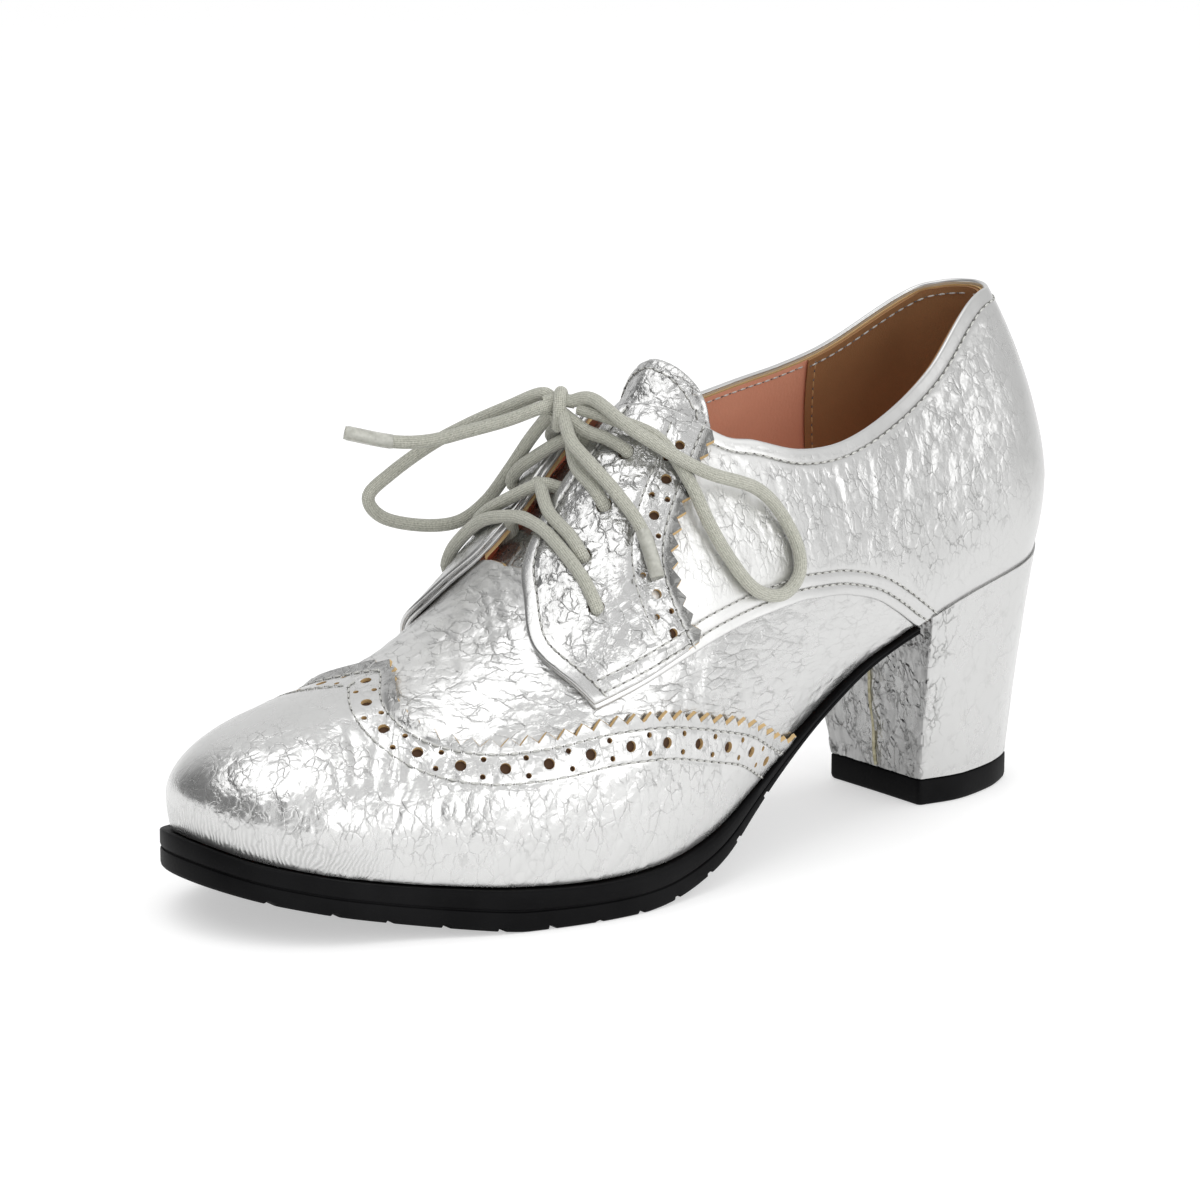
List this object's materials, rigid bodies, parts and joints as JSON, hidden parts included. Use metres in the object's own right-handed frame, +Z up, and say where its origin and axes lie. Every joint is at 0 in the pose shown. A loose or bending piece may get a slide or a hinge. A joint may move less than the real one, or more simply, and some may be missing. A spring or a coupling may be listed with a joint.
{
  "type": "block heel derby shoe",
  "caption": "Laced low-cut shoe for the left foot with a pinked wing cap, open lacing over a tongue, a block heel and a thin ribbed sole; worn on the foot.",
  "frame": {"origin": "centre of the shoe's outline on the floor, halfway along its length and width", "axes": "+X towards the toe, +Y towards the outer side of the left foot, +Z up"},
  "size_m": [0.2352, 0.0843, 0.1216],
  "materials": {
    "silver_leather": "crinkled metallic gloss",
    "heel_cover": "crinkled metallic gloss",
    "black_rubber": "matte",
    "lining_leather": "matte",
    "waxed_lace": "waxed matte"
  },
  "bodies": {
    "root": {"upper": "silver_leather", "wing_cap": "silver_leather", "eyestay_lateral": "silver_leather", "eyestay_medial": "silver_leather", "tongue": "silver_leather", "insole": "lining_leather", "outsole": "black_rubber", "heel_block": "heel_cover", "heel_top_lift": "black_rubber", "lace_crossings": "waxed_lace", "lace_knot": "waxed_lace", "lace_loop_lateral": "waxed_lace", "lace_loop_medial": "waxed_lace", "lace_end_lateral": "waxed_lace", "lace_end_medial": "waxed_lace"}
  },
  "joints": []
}
